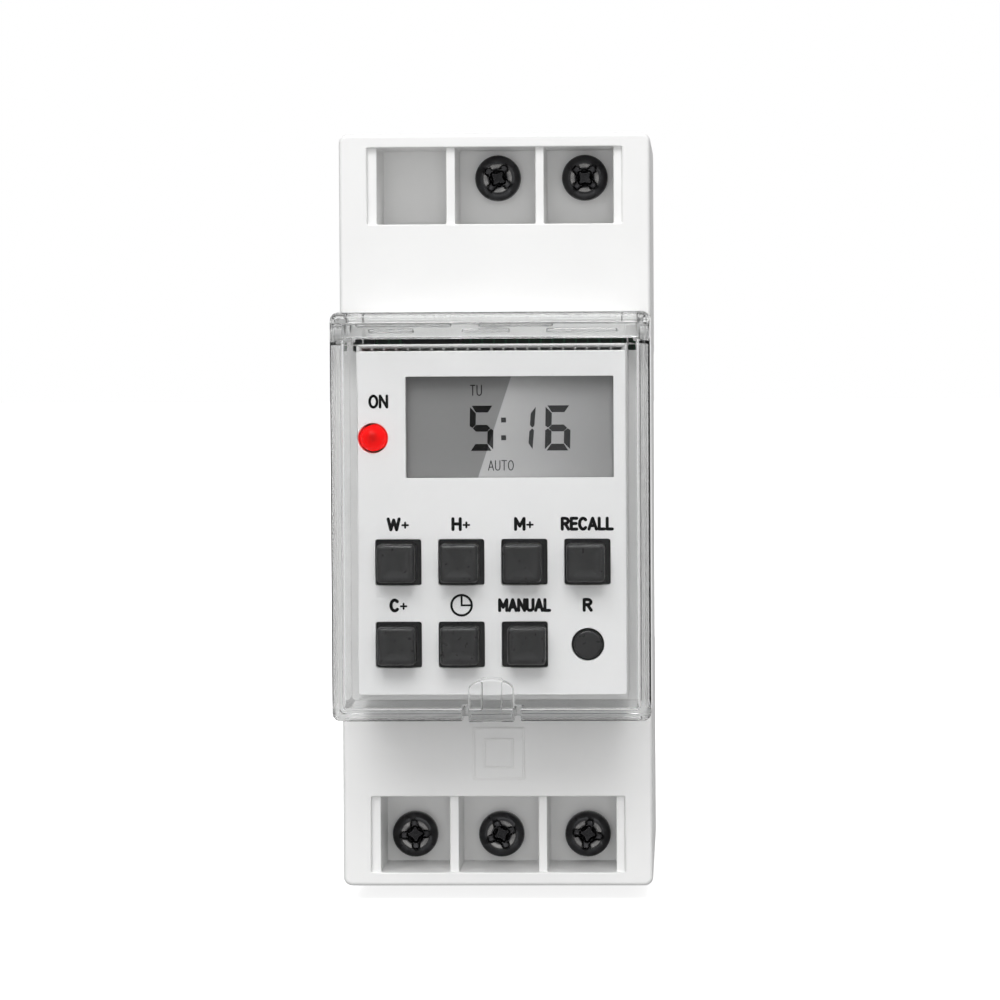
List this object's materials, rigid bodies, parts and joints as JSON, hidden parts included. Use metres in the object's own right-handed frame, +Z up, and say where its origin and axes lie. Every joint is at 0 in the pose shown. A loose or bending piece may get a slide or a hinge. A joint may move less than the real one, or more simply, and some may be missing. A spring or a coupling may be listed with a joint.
{
  "type": "din rail timer",
  "caption": "Two-module digital time switch for a 35 mm DIN rail, with a hinged clear cover, display, keys, screw terminals and a sprung rail clip.",
  "frame": {"origin": "on the rail seat, at the rail's centre line and the middle of the body's width", "axes": "+X across the width to the right as seen from the front, the front faces -Y, +Z up"},
  "size_m": [0.036, 0.0661, 0.0887],
  "materials": {
    "white_plastic": "fine satin moulded",
    "panel_plastic": "satin moulded",
    "clear_plastic": "polished clear",
    "key_rubber": "matte",
    "black_plastic": "satin",
    "display_glass": "polarised glass",
    "red_lens": "clear red lens",
    "silicone": "matte",
    "carbon": "matte conductive",
    "board_green": "solder mask",
    "black_screw": "black zinc",
    "zinc_steel": "zinc plated",
    "copper": "copper",
    "relay_blue": "gloss",
    "film_yellow": "gloss",
    "varistor_blue": "dipped epoxy"
  },
  "bodies": {
    "root": {"front_housing": "white_plastic", "rear_base": "white_plastic", "control_panel": "panel_plastic", "keypad_mat": "silicone", "status_lamp": "red_lens", "lcd_glass": "display_glass", "lcd_frame": "white_plastic", "lcd_strip_upper": "silicone", "lcd_strip_lower": "silicone", "display_board": "board_green", "backup_battery": "zinc_steel", "controller_chip": "black_plastic", "clock_crystal": "zinc_steel", "board_header": "black_plastic", "power_board": "board_green", "relay": "relay_blue", "dropper_capacitor": "film_yellow", "smoothing_capacitor": "black_plastic", "bridge_rectifier": "black_plastic", "varistor": "varistor_blue", "clip_spring": "zinc_steel", "contact_bar_1": "copper", "contact_bar_2": "copper", "contact_bar_3": "copper", "contact_bar_4": "copper", "contact_bar_5": "copper"},
    "cover": {"flip_cover": "clear_plastic"},
    "clip": {"rail_clip": "black_plastic"},
    "week_key": {"key_week": "key_rubber", "contact_pill_1": "carbon"},
    "hour_key": {"key_hour": "key_rubber", "contact_pill_2": "carbon"},
    "minute_key": {"key_minute": "key_rubber", "contact_pill_3": "carbon"},
    "recall_key": {"key_recall": "key_rubber", "contact_pill_4": "carbon"},
    "channel_key": {"key_channel": "key_rubber", "contact_pill_5": "carbon"},
    "clock_key": {"key_clock": "key_rubber", "contact_pill_6": "carbon"},
    "manual_key": {"key_manual": "key_rubber", "contact_pill_7": "carbon"},
    "reset_key": {"key_reset": "key_rubber", "contact_pill_8": "carbon"},
    "screw_1": {"terminal_screw_1": "black_screw"},
    "cage_1": {"terminal_cage_1": "zinc_steel"},
    "screw_2": {"terminal_screw_2": "black_screw"},
    "cage_2": {"terminal_cage_2": "zinc_steel"},
    "screw_3": {"terminal_screw_3": "black_screw"},
    "cage_3": {"terminal_cage_3": "zinc_steel"},
    "screw_4": {"terminal_screw_4": "black_screw"},
    "cage_4": {"terminal_cage_4": "zinc_steel"},
    "screw_5": {"terminal_screw_5": "black_screw"},
    "cage_5": {"terminal_cage_5": "zinc_steel"}
  },
  "joints": [
    {"name": "cover_hinge", "type": "hinge", "parent": "root", "child": "cover", "pos_m": [0, -0.0467, 0.0205], "axis": [-1, 0, 0], "range_deg": [0, 90]},
    {"name": "clip_slide", "type": "slide", "parent": "root", "child": "clip", "axis": [0, 0, -1], "range_m": [0, 0.004], "stiffness_N_per_m": 1500, "deforming": ["clip_spring"]},
    {"name": "week_press", "type": "slide", "parent": "root", "child": "week_key", "axis": [0, 1, 0], "range_m": [0, 0.001], "stiffness_N_per_m": 800},
    {"name": "hour_press", "type": "slide", "parent": "root", "child": "hour_key", "axis": [0, 1, 0], "range_m": [0, 0.001], "stiffness_N_per_m": 800},
    {"name": "minute_press", "type": "slide", "parent": "root", "child": "minute_key", "axis": [0, 1, 0], "range_m": [0, 0.001], "stiffness_N_per_m": 800},
    {"name": "recall_press", "type": "slide", "parent": "root", "child": "recall_key", "axis": [0, 1, 0], "range_m": [0, 0.001], "stiffness_N_per_m": 800},
    {"name": "channel_press", "type": "slide", "parent": "root", "child": "channel_key", "axis": [0, 1, 0], "range_m": [0, 0.001], "stiffness_N_per_m": 800},
    {"name": "clock_press", "type": "slide", "parent": "root", "child": "clock_key", "axis": [0, 1, 0], "range_m": [0, 0.001], "stiffness_N_per_m": 800},
    {"name": "manual_press", "type": "slide", "parent": "root", "child": "manual_key", "axis": [0, 1, 0], "range_m": [0, 0.001], "stiffness_N_per_m": 800},
    {"name": "reset_press", "type": "slide", "parent": "root", "child": "reset_key", "axis": [0, 1, 0], "range_m": [0, 0.001], "stiffness_N_per_m": 800},
    {"name": "screw_1_turn", "type": "hinge", "parent": "root", "child": "screw_1", "pos_m": [0, -0.0343, 0.03865], "axis": [0, 1, 0], "range_deg": [0, 2340]},
    {"name": "cage_1_rise", "type": "slide", "parent": "root", "child": "cage_1", "axis": [0, -1, 0], "range_m": [0, 0.0039]},
    {"name": "screw_2_turn", "type": "hinge", "parent": "root", "child": "screw_2", "pos_m": [0.0102, -0.0343, 0.03865], "axis": [0, 1, 0], "range_deg": [0, 2340]},
    {"name": "cage_2_rise", "type": "slide", "parent": "root", "child": "cage_2", "axis": [0, -1, 0], "range_m": [0, 0.0039]},
    {"name": "screw_3_turn", "type": "hinge", "parent": "root", "child": "screw_3", "pos_m": [-0.0102, -0.0343, -0.03865], "axis": [0, 1, 0], "range_deg": [0, 2340]},
    {"name": "cage_3_rise", "type": "slide", "parent": "root", "child": "cage_3", "axis": [0, -1, 0], "range_m": [0, 0.0039]},
    {"name": "screw_4_turn", "type": "hinge", "parent": "root", "child": "screw_4", "pos_m": [0, -0.0343, -0.03865], "axis": [0, 1, 0], "range_deg": [0, 2340]},
    {"name": "cage_4_rise", "type": "slide", "parent": "root", "child": "cage_4", "axis": [0, -1, 0], "range_m": [0, 0.0039]},
    {"name": "screw_5_turn", "type": "hinge", "parent": "root", "child": "screw_5", "pos_m": [0.0102, -0.0343, -0.03865], "axis": [0, 1, 0], "range_deg": [0, 2340]},
    {"name": "cage_5_rise", "type": "slide", "parent": "root", "child": "cage_5", "axis": [0, -1, 0], "range_m": [0, 0.0039]}
  ],
  "couplings": [
    {"joint": "screw_1_turn", "follows": "cage_1_rise", "rad_per_m": 10472},
    {"joint": "screw_2_turn", "follows": "cage_2_rise", "rad_per_m": 10472},
    {"joint": "screw_3_turn", "follows": "cage_3_rise", "rad_per_m": 10472},
    {"joint": "screw_4_turn", "follows": "cage_4_rise", "rad_per_m": 10472},
    {"joint": "screw_5_turn", "follows": "cage_5_rise", "rad_per_m": 10472}
  ]
}
